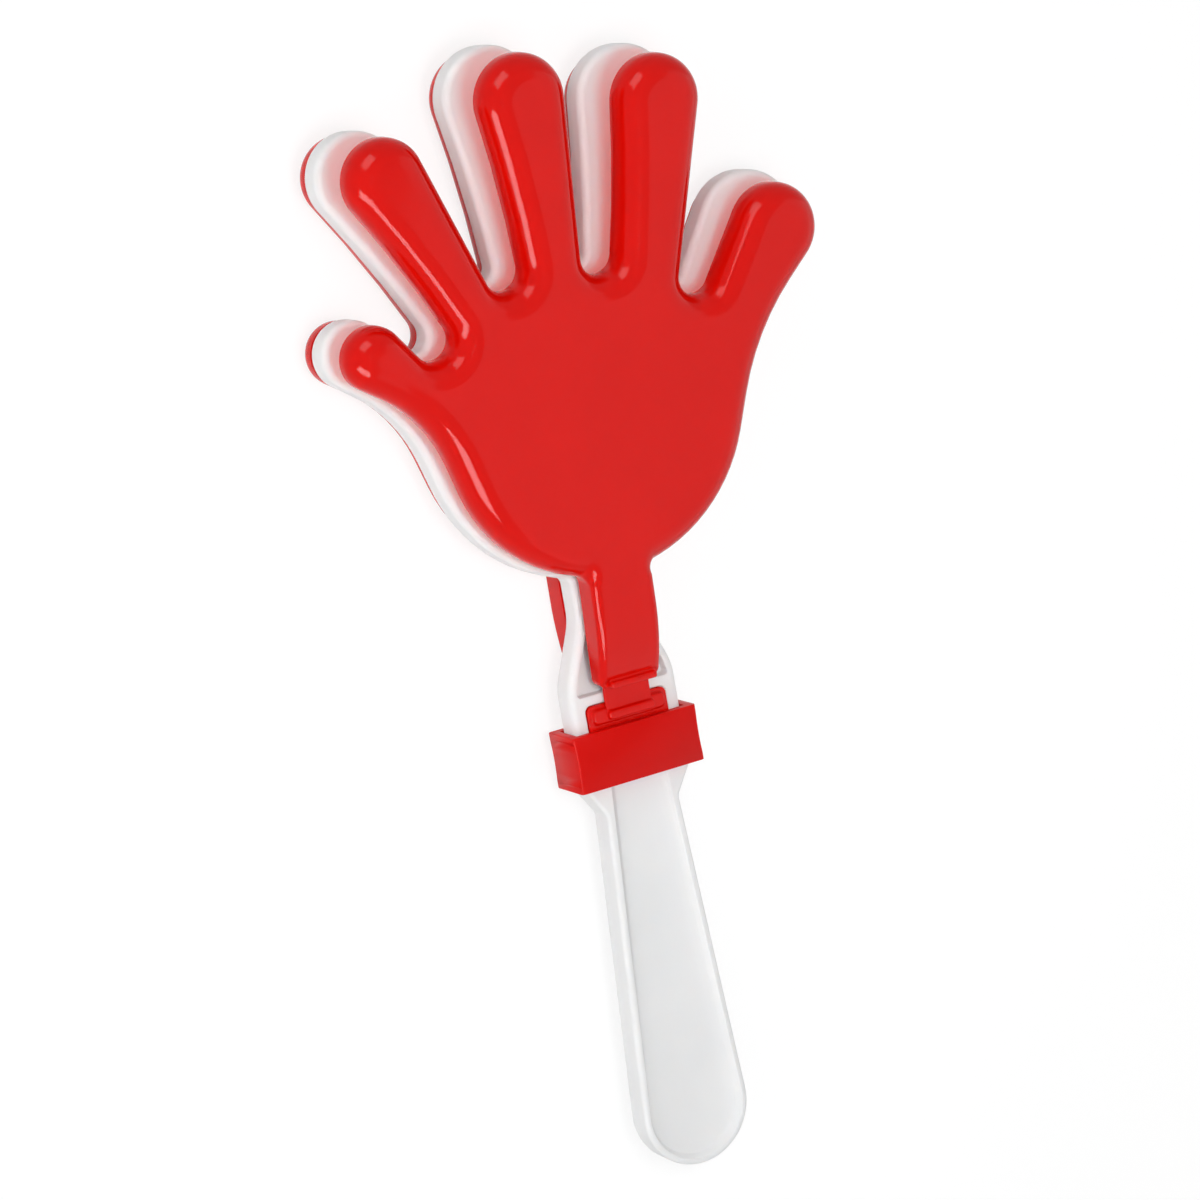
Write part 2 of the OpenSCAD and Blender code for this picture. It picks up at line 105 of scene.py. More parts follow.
# Hinge
STRAP_LEN = 5.6
STRAP_W = 12.4
STRAP_T = 0.8
STRAP_GRIP = 0.5
STRAP_FOOT = 1.2
STRAP_RISE = 0.03
BAR_LEN = 12.6
NECK_BAR_H = 1.7
NECK_BAR_TOP = 6.4
TAB_X = 10.9
TAB_T = 1.3
TAB_FACE_Z = 4.3
TAB_FOOT_Y = -5.0
TAB_TOP_Y = 12.9
TAB_CORNER_R = 1.5
PAD_X = 9.8
PAD_H = 3.6
PAD_T = 1.2
PAD_CORNER_R = 1.2
PAD_BAR_H = 2.1
PAD_BAR_T = 1.5
TAB_EDGE_R = 0.3
BAR_EDGE_R = 0.55
ROOT_R = 0.5

# Centre hand and handle
PLATE_Z = 3.8
RIM_Z = 4.1
THUMB_MARGIN = 0.4
LITTLE_MARGIN = 2.4
PLATE_EDGE_R = 1.8
LYRE_TOP_X = 8.7
LYRE_FOOT_X = 14.7
LYRE_R = 15.0
LYRE_SPREAD_Y = 36.0
LYRE_FOOT_Y = 15.0
LEG_W = 2.3
POCKET_DEPTH = 2.8
POCKET_FOOT_Y = 15.5
POCKET_CORNER_R = 1.0
POCKET_TOP_R = 3.0
RECESS_X = 11.1
RECESS_LOW_Y = -5.2
RECESS_TOP_Y = 13.1
RECESS_CORNER_R = 1.7
RECESS_FLOOR_Z = 2.9
CUT_EDGE_R = 0.35
FUSE = 0.6
HANDLE_Z = 3.9
HANDLE_LEN = 107.0
HANDLE_TOP_X = 10.1
HANDLE_END_R = 14.5
HANDLE_EDGE_R = 1.1
HANDLE_RIM_W = 1.7
TONGUE_X = 14.4
SHOULDER_TOP_Y = 7.0
SHOULDER_FOOT_Y = 15.5
SHOULDER_TOP_R = 2.6
SHOULDER_FOOT_R = 3.0
PANEL_LEAN = 0.7
PANEL_DEPTH = 2.8
PANEL_TOP_DEPTH = 1.2
PANEL_COVE = (6.0, 0.9)
PANEL_TOP_X = 7.6
PANEL_TOP_Y = 1.0

# Collar
COLLAR_EDGE_R = 0.25

# Fineness of the meshes: degrees a step round an arc, and steps round an edge
ARC_STEP = 5.0
EDGE_STEPS = 10
INNER_STEPS = 5
RIM_STEPS = 2
CUT_STEPS = 4
BEVEL_STEPS = 3
BEND_STEPS = 14
SAME_POINT = 1e-4
WELD_GAP = 1e-3
SMOOTH_LIMIT = math.radians(32)
FLAT_LIMIT = math.radians(0.5)

# Materials: values that most of a noise lies between, and how red light spreads and passes through
NOISE_RANGE = (0.3, 0.7)
RED_SPREAD = (1, 0.04, 0.03)
SHELL_TINT = (1.0, 0.5, 0.47)
TINT_RUN = 10.0

# Stage: the floor's half width in metres and its gap below the part, its levels for light and for
# the eye, and the room's light at either side
FLOOR_HALF = 4.0
FLOOR_GAP = 0.05
FLOOR_LIT = 0.85
FLOOR_SHADE = 0.22
FLOOR_GLOW = 0.82
ROOM_RIGHT = 0.4
ROOM_LEFT = 0.8


def polar(reach, angle):
    """Point at that reach and direction from the palm's middle."""
    a = math.radians(angle)
    return PALM[0] + reach * math.cos(a), PALM[1] + reach * math.sin(a)


def tangent(a, b):
    """Direction, in radians, of the line that leaves circle a and meets circle b."""
    dx, dy = b[0] - a[0], b[1] - a[1]
    return math.atan2(dy, dx) + math.asin((a[2] - b[2]) / math.hypot(dx, dy))


def arc(circle, d_in, d_out):
    """Points (x, y, normal x, normal y) round a circle, counter-clockwise where its radius is positive."""
    x, y, r = circle
    turn = (d_out - d_in) % math.tau if r > 0 else -((d_in - d_out) % math.tau)
    steps = max(1, math.ceil(abs(turn) / math.radians(ARC_STEP)))
    directions = [d_in + turn * k / steps for k in range(steps + 1)]
    return [(x + r * math.sin(d), y - r * math.cos(d), math.sin(d), -math.cos(d)) for d in directions]


def belt_run(circles, first, last):
    """Outline round a row of circles, from direction first to direction last."""
    joins = [first, *[tangent(a, b) for a, b in zip(circles, circles[1:])], last]
    return [p for circle, d_in, d_out in zip(circles, joins, joins[1:]) for p in arc(circle, d_in, d_out)]


def belt(circles):
    """Closed outline round a ring of circles."""
    join = tangent(circles[-1], circles[0])
    return belt_run(circles, join, join)


def hollow(r, a, b):
    """Hollow curve of radius r that leads from circle a to circle b."""
    from_a, from_b = a[2] + r + STRAIGHT, b[2] + r + STRAIGHT
    dx, dy = b[0] - a[0], b[1] - a[1]
    reach = math.hypot(dx, dy)
    turn = math.atan2(dy, dx) - math.acos((from_a**2 + reach**2 - from_b**2) / (2 * from_a * reach))
    return a[0] + from_a * math.cos(turn), a[1] + from_a * math.sin(turn), -r


def hand_circles(at_thumb, at_little):
    """Heel, roots, fingers and webs of a hand, larger by these margins at thumb and little finger."""
    fingers = [LITTLE, RING_WEB, RING, MIDDLE_WEB, MIDDLE, INDEX_WEB, INDEX, THUMB_WEB, THUMB]
    row = []
    for k, (reach, angle, r) in enumerate(fingers):
        share = 1 - k / (len(fingers) - 1)
        row.append((*polar(reach, angle), r + at_thumb + (at_little - at_thumb) * share))
    palm = (*PALM, PALM_R + (at_thumb + at_little) / 2)
    little, ring_web, ring_tip, middle_web, middle, index_web, index, thumb_web, thumb = row
    return [palm, hollow(LITTLE_ROOT_R, palm, little),
            little, ring_web,
            ring_tip, hollow(FINGER_SIDE_R, ring_tip, middle_web), middle_web,
            middle, hollow(FINGER_SIDE_R, middle, index_web), index_web,
            index, hollow(FINGER_SIDE_R, index, thumb_web), thumb_web,
            thumb, hollow(THUMB_ROOT_R, thumb, palm), palm]


def heel_fillet(x, side, grow):
    """Circle in the corner between a neck of half width x and the heel of the palm."""
    reach = PALM_R + grow + NECK_FILLET_R + TOUCH
    across = side * (x + NECK_FILLET_R)
    return across, PALM[1] - math.sqrt(reach**2 - (across - PALM[0]) ** 2), -NECK_FILLET_R


def two_sided(side, between=()):
    """Outline of a right side, what lies between, and the mirrored left side."""
    return [*side, *between, *[(-x, y, -nx, ny) for x, y, nx, ny in reversed(side)]]


def from_bottom(run):
    """Outline whose right side is a run that starts at its lowest point, in the middle."""
    return two_sided([(-x, y, -nx, ny) for x, y, nx, ny in reversed(run[1:])], [run[0]])


def rounded_box(x, y0, y1, r_low, r_top):
    """Outline of a rectangle of half width x with rounded lower and upper corners."""
    return belt([(x - r_low, y0 + r_low, r_low), (x - r_top, y1 - r_top, r_top),
                 (r_top - x, y1 - r_top, r_top), (r_low - x, y0 + r_low, r_low)])


def ring(outline, inset, z):
    """The outline moved in by inset, at height z."""
    return [(x - inset * nx, y - inset * ny, z) for x, y, nx, ny in outline]


def strip_cap(count, side):
    """Faces that fill a two-sided outline: strips across its sides, and one face for the rest."""
    strips = [(i, i + 1, count - 2 - i, count - 1 - i) for i in range(side - 1)]
    rest = [tuple(range(side - 1, count - side + 1))] if count > 2 * side else []
    return rest + strips


def loft(rings, cap):
    """Closed mesh through rings of points, with its first and last ring filled by the cap's faces."""
    mesh = bmesh.new()
    rows = [[mesh.verts.new(p) for p in points] for points in rings]
    count = len(rows[0])
    for low, high in zip(rows, rows[1:]):
        for i in range(count):
            j = (i + 1) % count
            mesh.faces.new((low[i], low[j], high[j], high[i]))
    for face in cap:
        mesh.faces.new([rows[0][i] for i in reversed(face)])
        mesh.faces.new([rows[-1][i] for i in face])
    bmesh.ops.remove_doubles(mesh, verts=mesh.verts, dist=SAME_POINT)
    bmesh.ops.recalc_face_normals(mesh, faces=mesh.faces)
    return mesh


def piece(name, mesh, matrix=None):
    """Object made of a bmesh in millimetres, set in the frame."""
    bmesh.ops.transform(mesh, matrix=matrix or Matrix.Identity(4), verts=mesh.verts)
    bmesh.ops.transform(mesh, matrix=PLACE, verts=mesh.verts)
    bmesh.ops.recalc_face_normals(mesh, faces=mesh.faces)
    data = bpy.data.meshes.new(name)
    mesh.to_mesh(data)
    mesh.free()
    made = bpy.data.objects.new(name, data)
    bpy.context.scene.collection.objects.link(made)
    return made


def combine(target, operation, *others):
    """Joins the others to the target, or cuts them from it, and removes them."""
    for other in others:
        step = target.modifiers.new(operation.lower(), "BOOLEAN")
        step.operation = operation
        step.solver = "EXACT"
        step.object = other
    result = bpy.data.meshes.new_from_object(target.evaluated_get(bpy.context.evaluated_depsgraph_get()))
    target.modifiers.clear()
    target.data = result
    for other in others:
        bpy.data.objects.remove(other)


def smooth(target):
    """Smooth shading with sharp corners, and flat faces that stay flat."""
    target.data.shade_smooth()
    target.data.set_sharp_from_angle(angle=SMOOTH_LIMIT)
    weighted = target.modifiers.new("weighted_normals", "WEIGHTED_NORMAL")
    weighted.keep_sharp = True


def quarter(steps):
    """Angles from 0 to a right angle."""
    return [math.pi / 2 * k / steps for k in range(steps + 1)]


def neck_face(y):
    """Height of the red hand's outer face above its rim, at y."""
    drop = max(0.0, NECK_BEND_Y - y)
    return SHELL_DEPTH - NECK_BEND_R + math.sqrt(NECK_BEND_R**2 - drop**2)


def red_outline():
    """Outline of a red hand, the edge radius at each of its points, and the length of its neck's side."""
    end_y = PIVOT.y + STRAP_LEN / 2
    corner = (NECK_X - NECK_CORNER_R, end_y + NECK_CORNER_R, NECK_CORNER_R)
    rise = NECK_BEND_Y - corner[1]
    turn = arc(corner, 0, math.pi / 2)
    side = turn + [(NECK_X, corner[1] + rise * k / BEND_STEPS, 1, 0) for k in range(1, BEND_STEPS + 1)]
    hand = hand_circles(0, 0)
    heels = [heel_fillet(NECK_X, s, 0) for s in (1, -1)]
    d_in, d_out = tangent(heels[0], hand[0]), tangent(hand[-1], heels[1])
    right = arc(heels[0], math.pi / 2, d_in)
    run = belt_run(hand, d_in, d_out)
    left = arc(heels[1], d_out, 3 * math.pi / 2)
    growth = HAND_EDGE_R - NECK_EDGE_R
    side_edges = [LEAST_R + (NECK_EDGE_R - LEAST_R) * k / (len(turn) - 1) for k in range(len(turn))]
    side_edges += [NECK_EDGE_R] * (len(side) - len(turn))
    edges = list(side_edges)
    edges += [NECK_EDGE_R + growth * (k + 1) / len(right) for k in range(len(right))]
    edges += [HAND_EDGE_R] * len(run)
    edges += [NECK_EDGE_R + growth * (len(left) - k) / len(left) for k in range(len(left))]
    edges += reversed(side_edges)
    return two_sided(side, [*right, *run, *left]), edges, len(side)


def bar_outline(y0, y1):
    """Outline of a stop bar with round ends."""
    r = (y1 - y0) / 2 - LEAST_R
    return rounded_box(BAR_LEN / 2, y0, y1, r, r)


def rounded_top(outline, z, r):
    """Rings of a rounded edge that leads up to a top face at z."""
    return [ring(outline, r * (1 - math.cos(a)), z - r * (1 - math.sin(a))) for a in quarter(INNER_STEPS)]


def block(outline, z0, face_z, z1, edge_r):
    """Block that starts at z0 inside a moulding, leaves its face with a fillet and has a rounded top."""
    rings = [ring(outline, -ROOT_R, z0)]
    rings += [ring(outline, ROOT_R * (math.sin(a) - 1), face_z + ROOT_R * (1 - math.cos(a)))
              for a in quarter(INNER_STEPS)]
    return loft(rings + rounded_top(outline, z1, edge_r), [tuple(range(len(outline)))])


def neck_bar():
    """Stop bar at the end of the neck, with a fillet on its far side."""
    y0 = PIVOT.y + STRAP_LEN / 2
    outline = bar_outline(y0, y0 + NECK_BAR_H)
    face_z = neck_face(y0 + NECK_BAR_H + ROOT_R)

    def flared(flare, z):
        return [(x, y + flare * max(0, ny), z) for x, y, nx, ny in outline]

    rings = [flared(ROOT_R, SHELL_WALL)]
    rings += [flared(ROOT_R * (1 - math.sin(a)), face_z + ROOT_R * (1 - math.cos(a)))
              for a in quarter(INNER_STEPS)]
    return loft(rings + rounded_top(outline, NECK_BAR_TOP, BAR_EDGE_R), [tuple(range(len(outline)))])


def hinge_tab(name, matrix):
    """Tab in its recess, with the pad that carries the strap and a stop bar on the pad."""
    plate = rounded_box(TAB_X, TAB_FOOT_Y, TAB_TOP_Y, LEAST_R, TAB_CORNER_R)
    low_z = TAB_FACE_Z - TAB_T
    rings = [ring(plate, 0, low_z), *rounded_top(plate, TAB_FACE_Z, TAB_EDGE_R)]
    made = piece(name, loft(rings, [tuple(range(len(plate)))]), matrix)
    pad_top = PIVOT.y - STRAP_LEN / 2
    pad_z = TAB_FACE_Z + PAD_T
    bar_y = pad_top - PAD_H / 2
    pad = rounded_box(PAD_X, pad_top - PAD_H, pad_top, PAD_CORNER_R, PAD_CORNER_R)
    bar = bar_outline(bar_y - PAD_BAR_H / 2, bar_y + PAD_BAR_H / 2)
    combine(made, "UNION",
            piece(name + "_pad", block(pad, low_z + TAB_EDGE_R, TAB_FACE_Z, pad_z, BAR_EDGE_R), matrix),
            piece(name + "_bar", block(bar, TAB_FACE_Z, pad_z, pad_z + PAD_BAR_T, BAR_EDGE_R), matrix))
    smooth(made)
    return made


def red_hand(name, matrix):
    """Hollow hand with a rolled edge, its neck and its stop bar."""
    outline, edges, side = red_outline()

    def edge_ring(angle, wall, share=1.0):
        points = []
        for (x, y, nx, ny), edge in zip(outline, edges):
            r = max(edge - wall, LEAST_R)
            inset = wall + r * (1 - math.cos(angle)) * share
            points.append((x - inset * nx, y - inset * ny, neck_face(y) - wall - r * (1 - math.sin(angle))))
        return points

    right_angle = math.pi / 2
    rings = [edge_ring(right_angle, SHELL_WALL, FLAT_SHARE)]
    rings += [edge_ring(a, SHELL_WALL) for a in reversed(quarter(INNER_STEPS))]
    rings += [ring(outline, SHELL_WALL - RIM_FILLET_R * math.sin(a), RIM_FILLET_R * (1 - math.sin(a)))
              for a in quarter(RIM_STEPS)]
    rings += [ring(outline, RIM_FILLET_R * (1 - math.sin(a)), RIM_FILLET_R * (1 - math.cos(a)))
              for a in quarter(RIM_STEPS)]
    rings += [edge_ring(a, 0) for a in quarter(EDGE_STEPS)]
    rings += [edge_ring(right_angle, 0, FLAT_SHARE)]
    closed = Matrix.Translation((0, 0, RIM_Z))
    made = piece(name, loft(rings, strip_cap(len(outline), side)), matrix @ closed)
    combine(made, "UNION", piece(name + "_bar", neck_bar(), matrix @ closed))
    smooth(made)
    return made


def hinge_strap(name, angle, matrix):
    """Thin strap across the hinge line, bent smoothly by the angle that it rests at, with a sunk foot."""
    half_w, half_t = STRAP_W / 2, STRAP_T / 2
    section = [(x, z) for x, z, _, _ in rounded_box(half_w, -half_t, half_t, half_t / 2, half_t / 2)]
    stops = [(-STRAP_FOOT, -STRAP_T), (-STRAP_FOOT / 2, STRAP_RISE)]
    stops += [(STRAP_LEN * k / BEND_STEPS, STRAP_RISE * (1 - k / BEND_STEPS))
              for k in range(BEND_STEPS + 1)]
    stops.append((STRAP_LEN + STRAP_GRIP, 0))
    rings = []
    for along, rise in stops:
        t = min(1.0, max(0.0, along / STRAP_LEN))
        a = angle * t * t * (3 - 2 * t)
        y = along - STRAP_LEN / 2
        rings.append([(x, PIVOT.y + y * math.cos(a) - (z + rise) * math.sin(a),
                       PIVOT.z + y * math.sin(a) + (z + rise) * math.cos(a)) for x, z in section])
    made = piece(name, loft(rings, [tuple(range(len(section)))]), matrix)
    smooth(made)
    return made


def leg_circles(inset):
    """Curves of the right leg from the collar up, moved in by inset."""
    return [(LYRE_FOOT_X - LYRE_R, LYRE_FOOT_Y, LYRE_R - inset),
            (LYRE_TOP_X + LYRE_R, LYRE_SPREAD_Y, -LYRE_R - inset)]


def rounded_slab(outline, side, z, r):
    """Flat slab of half thickness z whose edges are rounded on both faces."""
    profile = [(r * (1 - math.cos(a)), z - r * (1 - math.sin(a))) for a in quarter(EDGE_STEPS)]
    rings = [ring(outline, inset, -height) for inset, height in reversed(profile)]
    rings += [ring(outline, inset, height) for inset, height in profile]
    return loft(rings, strip_cap(len(outline), side))


def centre_slab():
    """Centre hand with its legs, down to where it fuses with the handle inside the collar."""
    corner_r = PLATE_EDGE_R + LEAST_R
    corner = (LYRE_FOOT_X - corner_r, -FUSE, corner_r)
    heels = [heel_fillet(LYRE_TOP_X, s, (THUMB_MARGIN + LITTLE_MARGIN) / 2) for s in (1, -1)]
    top = (LYRE_TOP_X, min(heels[0][1], heels[1][1]) - STRAIGHT, 1, 0)
    side = belt_run([corner, *leg_circles(0)], 0, math.pi / 2) + [top]
    circles = [heels[0], *hand_circles(THUMB_MARGIN, LITTLE_MARGIN), heels[1]]
    hand = belt_run(circles, math.pi / 2, 3 * math.pi / 2)
    return rounded_slab(two_sided(side, hand), len(side), PLATE_Z, PLATE_EDGE_R)


def handle_slab():
    """Handle with its shoulders and the tongue that fuses with the centre hand."""
    tip_r = HANDLE_EDGE_R + LEAST_R
    run = belt_run([(0, HANDLE_END_R - HANDLE_LEN, HANDLE_END_R),
                    (HANDLE_TOP_X + SHOULDER_FOOT_R, -SHOULDER_FOOT_Y, -SHOULDER_FOOT_R),
                    (TONGUE_X - SHOULDER_TOP_R, -SHOULDER_TOP_Y, SHOULDER_TOP_R),
                    (TONGUE_X - tip_r, FUSE + PLATE_EDGE_R, tip_r)], 0, math.pi)
    return rounded_slab(from_bottom(run), len(run) - 1, HANDLE_Z, HANDLE_EDGE_R)


def cutter(outline, floor_z, face_z, lean=0.0, slope=0.0, cove=(CUT_EDGE_R, CUT_EDGE_R)):
    """Shape cut from a face down to a floor, with a cove round the floor and its upper edge eased.

    The floor rises with y by the slope, and floor_z is its height at the outline's lowest point. The
    cove is given by its width and height.
    """
    r = CUT_EDGE_R
    low_y = min(p[1] for p in outline)
    wide, high = cove
    flat = [ring(outline, lean + wide * (1 - math.sin(a)), floor_z + high * (1 - math.cos(a)))
            for a in quarter(INNER_STEPS)]
    rings = [[(x, y, z + slope * (y - low_y)) for x, y, z in points] for points in flat]
    easing = quarter(CUT_STEPS)[:-1]
    rings += [ring(outline, -r * (1 - math.cos(a)), face_z - r * (1 - math.sin(a))) for a in easing]
    rings.append(ring(outline, -r * (1 - math.cos(easing[-1])), face_z + FUSE))
    return loft(rings, [tuple(range(len(outline)))])


def leg_pocket():
    """Pocket between the legs."""
    low = (LYRE_FOOT_X - LEG_W - POCKET_CORNER_R, POCKET_FOOT_Y + POCKET_CORNER_R, POCKET_CORNER_R)
    top = (LYRE_TOP_X - LEG_W - POCKET_TOP_R, LYRE_SPREAD_Y + POCKET_TOP_R / 2, POCKET_TOP_R)
    right = [low, *leg_circles(LEG_W), top]
    outline = belt([*right, *[(-x, y, r) for x, y, r in reversed(right)]])
    return cutter(outline, PLATE_Z - POCKET_DEPTH, PLATE_Z)


def tab_recess():
    """Recess that holds a hinge tab."""
    outline = rounded_box(RECESS_X, RECESS_LOW_Y, RECESS_TOP_Y, 2 * CUT_EDGE_R, RECESS_CORNER_R)
    return cutter(outline, RECESS_FLOOR_Z, PLATE_Z)


def handle_panel():
    """Panel sunk into the handle, deepest at the handle's end, with its top inside the collar."""
    corner_r = PANEL_LEAN + PANEL_COVE[0] + LEAST_R
    run = belt_run([(0, HANDLE_END_R - HANDLE_LEN, HANDLE_END_R - HANDLE_RIM_W),
                    (PANEL_TOP_X - corner_r, -PANEL_TOP_Y - corner_r, corner_r)], 0, math.pi)
    slope = (PANEL_DEPTH - PANEL_TOP_DEPTH) / (HANDLE_LEN - HANDLE_RIM_W - PANEL_TOP_Y)
    return cutter(from_bottom(run), HANDLE_Z - PANEL_DEPTH, HANDLE_Z, PANEL_LEAN, slope, PANEL_COVE)


def centre_hand():
    """White moulding: centre hand, legs with their pockets, tab recesses and handle with sunk panels."""
    made = piece("white_hand", centre_slab())
    combine(made, "UNION", piece("handle", handle_slab()))
    cuts = []
    for shape in (leg_pocket, tab_recess, handle_panel):
        cuts.append(piece(shape.__name__ + "_front", shape()))
        cuts.append(piece(shape.__name__ + "_rear", shape(), MIRRORED))
    combine(made, "DIFFERENCE", *cuts)
    smooth(made)
    return made


def ease_edges(name, width):
    """Rounds the sharp edges of a frame part with modifiers."""
    part = frame["nodes"][name]
    weld = part.modifiers.new("weld", "WELD")
    weld.merge_threshold = WELD_GAP * MM
    flats = part.modifiers.new("flats", "DECIMATE")
    flats.decimate_type = "DISSOLVE"
    flats.angle_limit = FLAT_LIMIT
    bevel = part.modifiers.new("bevel", "BEVEL")
    bevel.width = width * MM
    bevel.segments = BEVEL_STEPS
    bevel.limit_method = "ANGLE"
    bevel.angle_limit = SMOOTH_LIMIT
    bevel.harden_normals = True
    part.data.shade_smooth()
    return part


class Shader:
    """A material with a Principled shader, and helpers that add nodes in front of its sockets."""

    def __init__(self, name, **constants):
        self.material = bpy.data.materials.new(name)
        self.material.use_nodes = True
        self.tree = self.material.node_tree
        self.shader = self.tree.nodes["Principled BSDF"]
        self.place = self.tree.nodes.new("ShaderNodeTexCoord").outputs["Object"]
        for socket, value in constants.items():
            self.shader.inputs[socket.replace("_", " ")].default_value = value

    def add(self, kind, links=None, **settings):
        """New node; settings are its properties or input values, links its linked inputs."""
        node = self.tree.nodes.new(kind)
        for key, value in settings.items():
            if key in node.bl_rna.properties:
                setattr(node, key, value)
            else:
                node.inputs[key.replace("_", " ")].default_value = value
        for key, output in (links or {}).items():
            self.tree.links.new(output, node.inputs[key])
        return node

    def noise(self, grain, detail=2.0):
        """Noise whose grains are about that many millimetres across."""
        node = self.add("ShaderNodeTexNoise", {"Vector": self.place}, Scale=1 / (grain * MM), Detail=detail)
        return node.outputs["Fac"]

    def spread(self, factor, low, high):
        """The noise stretched over a range of values."""
        start, end = NOISE_RANGE
        node = self.add("ShaderNodeMapRange", {"Value": factor}, From_Min=start, From_Max=end,
                        To_Min=low, To_Max=high)
        return node.outputs["Result"]

    def link(self, output, socket):
        """Feeds one socket of the shader."""
        self.tree.links.new(output, self.shader.inputs[socket])

    def ramp(self, factor, low, high):
        """Colour that goes from low to high as the noise does."""
        node = self.add("ShaderNodeValToRGB", {"Fac": factor})
        for element, place, colour in zip(node.color_ramp.elements, NOISE_RANGE, (low, high)):
            element.position = place
            element.color = (*colour, 1)
        return node.outputs["Color"]

    def bump(self, height, depth):
        """Surface relief of that many millimetres."""
        node = self.add("ShaderNodeBump", {"Height": height}, Distance=depth * MM)
        self.link(node.outputs["Normal"], "Normal")

    def tint_shadow(self, colour, from_y, to_y):
        """Lets light through in that colour, more from from_y to to_y, as a thin translucent wall does."""
        split = self.add("ShaderNodeSeparateXYZ", {"Vector": self.place})
        shadow = self.add("ShaderNodeLightPath").outputs["Is Shadow Ray"]
        share = self.add("ShaderNodeMapRange", {"Value": split.outputs["Y"], "To Max": shadow},
                         From_Min=from_y, From_Max=to_y)
        clear = self.add("ShaderNodeBsdfTransparent", Color=(*colour, 1))
        mix = self.add("ShaderNodeMixShader", {"Fac": share.outputs["Result"]})
        self.tree.links.new(self.shader.outputs[0], mix.inputs[1])
        self.tree.links.new(clear.outputs[0], mix.inputs[2])
        self.tree.links.new(mix.outputs[0], self.tree.nodes["Material Output"].inputs["Surface"])


def red_plastic(name, translucent):
    """Glossy red with a faint moulding ripple and fine uneven gloss; a thin shell of it is translucent."""
    shader = Shader(name, IOR=1.48, Specular_IOR_Level=0.12, Subsurface_Weight=0.2,
                    Subsurface_Radius=RED_SPREAD, Subsurface_Scale=1.5 * MM)
    shader.link(shader.ramp(shader.noise(18), (0.66, 0.0036, 0.0012), (0.69, 0.0042, 0.0016)), "Base Color")
    shader.link(shader.spread(shader.noise(2.5, 4), 0.04, 0.09), "Roughness")
    shader.bump(shader.noise(9), 0.012)
    if translucent:
        heel_y = (PLACE @ Vector((0, PALM[1] - PALM_R, 0))).y
        shader.tint_shadow(SHELL_TINT, heel_y, heel_y + TINT_RUN * MM)
    return shader.material


def collar_plastic():
    """The same red with a duller, handled surface."""
    shader = Shader("collar_plastic", IOR=1.48, Specular_IOR_Level=0.08, Subsurface_Weight=0.5,
                    Subsurface_Radius=RED_SPREAD, Subsurface_Scale=2.5 * MM)
    shader.link(shader.ramp(shader.noise(14), (0.62, 0.0032, 0.0014), (0.64, 0.0036, 0.0017)), "Base Color")
    shader.link(shader.spread(shader.noise(3), 0.29, 0.31), "Roughness")
    return shader.material


def white_plastic():
    """Satin white with a fine grain and a slight warm and cool unevenness."""
    shader = Shader("white_plastic", IOR=1.47, Specular_IOR_Level=0.065, Subsurface_Weight=0.3,
                    Subsurface_Radius=(1, 0.9, 0.8), Subsurface_Scale=1.5 * MM)
    shader.link(shader.ramp(shader.noise(22), (0.83, 0.835, 0.84), (0.86, 0.86, 0.86)), "Base Color")
    shader.link(shader.spread(shader.noise(1.2, 5), 0.38, 0.52), "Roughness")
    shader.bump(shader.noise(0.35, 3), 0.004)
    return shader.material


def finish_piece(target, material, slot, *nodes):
    """Gives a piece its material and hides the frame parts that it stands for. The slot is not used."""
    target.data.materials.clear()
    target.data.materials.append(material)
    if nodes:
        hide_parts(*nodes)


def build_clapper():
    """Every piece of the clapper; the hands and tabs go on the body that they move with."""
    red, shell_red = red_plastic("red_plastic", False), red_plastic("red_shell", True)
    white, dull_red = white_plastic(), collar_plastic()
    hand = centre_hand()
    finish_piece(hand, white, "white_plastic", "centre_hand")
    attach(hand, "handle_body")
    sides = {"front": (OPENED, Matrix.Identity(4), REST_ANGLE), "rear": (MIRRORED, MIRRORED, 0.0)}
    for side, (hand_place, strap_place, angle) in sides.items():
        shell = red_hand("red_" + side + "_hand", hand_place)
        finish_piece(shell, shell_red, "red_plastic", side + "_hand")
        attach(shell, side + "_hand_body")
        strap = hinge_strap("red_" + side + "_strap", angle, strap_place)
        finish_piece(strap, red, "red_plastic", side + "_hinge_strap")
        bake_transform(strap)
        tab = hinge_tab("red_" + side + "_tab", strap_place)
        finish_piece(tab, red, "red_plastic", side + "_hinge_tab")
        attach(tab, "handle_body")
    finish_piece(ease_edges("collar", COLLAR_EDGE_R), dull_red, "collar_plastic")


def by_ray(tree, unseen, seen, output):
    """Feeds the output with seen for camera, glossy and transmission rays, and unseen for the rest."""
    path = tree.nodes.new("ShaderNodeLightPath")
    share = path.outputs["Is Camera Ray"]
    for name in ("Is Glossy Ray", "Is Transmission Ray"):
        either = tree.nodes.new("ShaderNodeMath")
        either.operation = "MAXIMUM"
        tree.links.new(share, either.inputs[0])
        tree.links.new(path.outputs[name], either.inputs[1])
        share = either.outputs[0]
    mix = tree.nodes.new("ShaderNodeMixShader")
    for socket, source in zip(mix.inputs, (share, unseen.outputs[0], seen.outputs[0])):
        tree.links.new(source, socket)
    tree.links.new(mix.outputs[0], tree.nodes[output].inputs["Surface"])


def grey(level):
    """Colour of that level."""
    return level, level, level, 1


